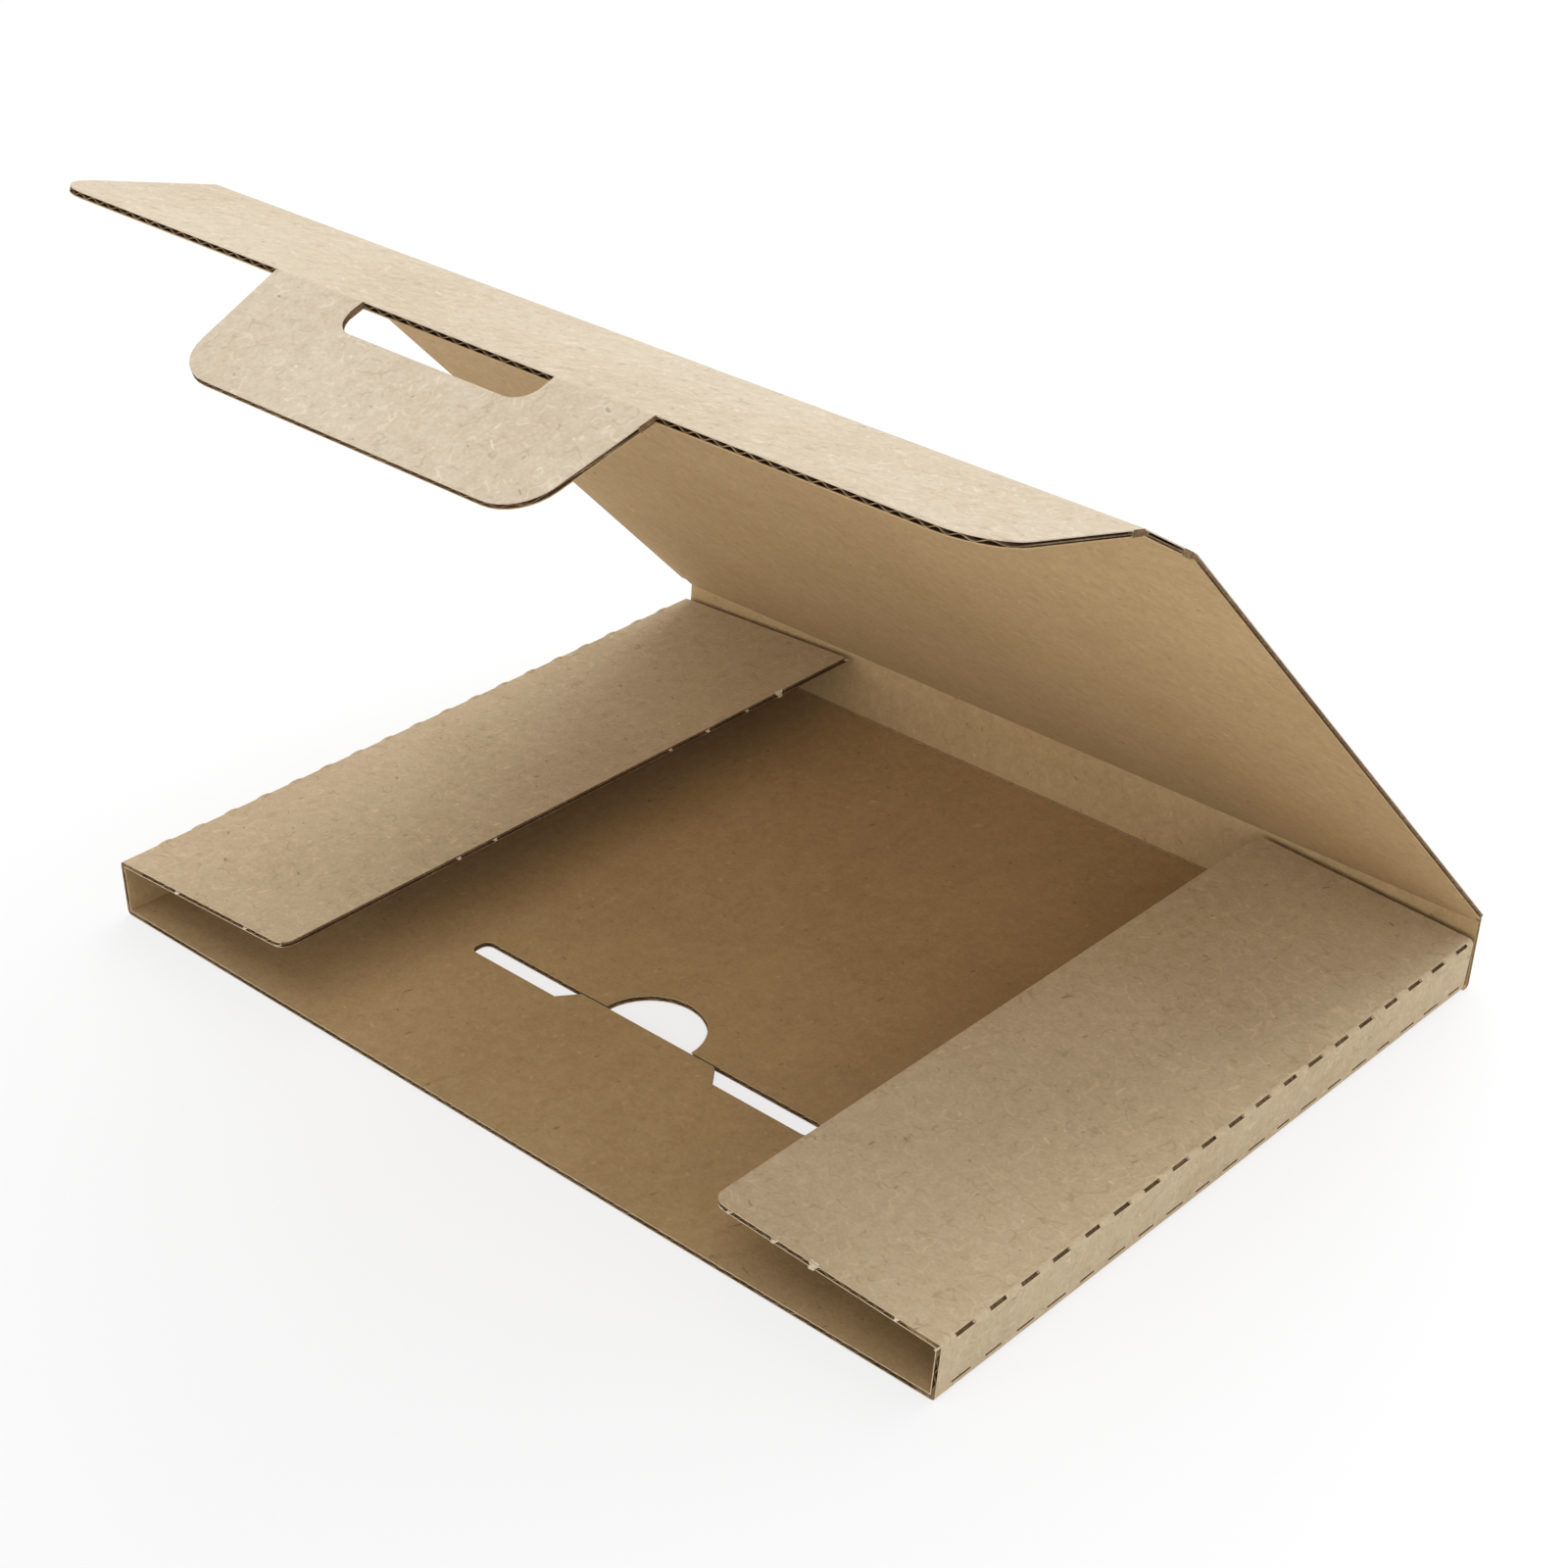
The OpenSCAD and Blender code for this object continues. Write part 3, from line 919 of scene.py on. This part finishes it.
def make_studio():
    bpy.ops.object.select_all(action="DESELECT")
    bpy.ops.mesh.primitive_plane_add(size=16, location=(0, 0, -0.0001))
    floor = bpy.context.object
    floor.name = "floor"
    floor.data.materials.append(backdrop_material("floor_white"))

    world = bpy.data.worlds.new("studio")
    bpy.context.scene.world = world
    world.use_nodes = True
    world.node_tree.nodes.clear()
    path = add_node(world, "ShaderNodeLightPath")
    seen = maths(world, "MAXIMUM", path.outputs["Is Camera Ray"], path.outputs["Is Glossy Ray"])
    seen = maths(world, "MAXIMUM", seen, path.outputs["Is Transmission Ray"])
    dome = add_node(world, "ShaderNodeBackground", Color=(1, 1, 1, 1), Strength=DOME_LEVEL)
    white = add_node(world, "ShaderNodeBackground", Color=(1, 1, 1, 1), Strength=1.0)
    mix = add_node(world, "ShaderNodeMixShader", i0=seen, i1=dome.outputs[0], i2=white.outputs[0])
    add_node(world, "ShaderNodeOutputWorld", Surface=mix.outputs[0])

    for box in SOFTBOXES:
        softbox(*box)


def make_camera():
    """Camera at the photograph's angle: aimed at a point over the base, rolled a little about its axis."""
    azimuth, elevation, roll = (math.radians(angle) for angle in (PHOTO_AZIMUTH, PHOTO_ELEVATION, PHOTO_ROLL))
    target = Vector(PHOTO_TARGET) * MM
    distance = PHOTO_DISTANCE * MM
    back = Vector((math.sin(azimuth) * math.cos(elevation), -math.cos(azimuth) * math.cos(elevation),
                   math.sin(elevation)))
    right = (-back).cross(Vector((0, 0, 1))).normalized()
    up = right.cross(-back)
    across = right * math.cos(roll) + up * math.sin(roll)
    upright = up * math.cos(roll) - right * math.sin(roll)
    turn = Matrix((across, upright, back)).transposed().to_4x4()
    place = Matrix.Translation(target + back * distance) @ turn
    bpy.ops.object.select_all(action="DESELECT")
    bpy.ops.object.camera_add()
    camera = bpy.context.object
    camera.name = "photo_camera"
    camera.matrix_world = place
    camera.data.sensor_width = SENSOR
    camera.data.lens = PHOTO_FOCAL / FRAME_PIXELS * SENSOR
    camera.data.clip_start = 0.01
    bpy.context.scene.camera = camera


make_tray()
make_lid_chain()
make_studio()
make_camera()
bpy.context.scene.view_settings.view_transform = "Standard"
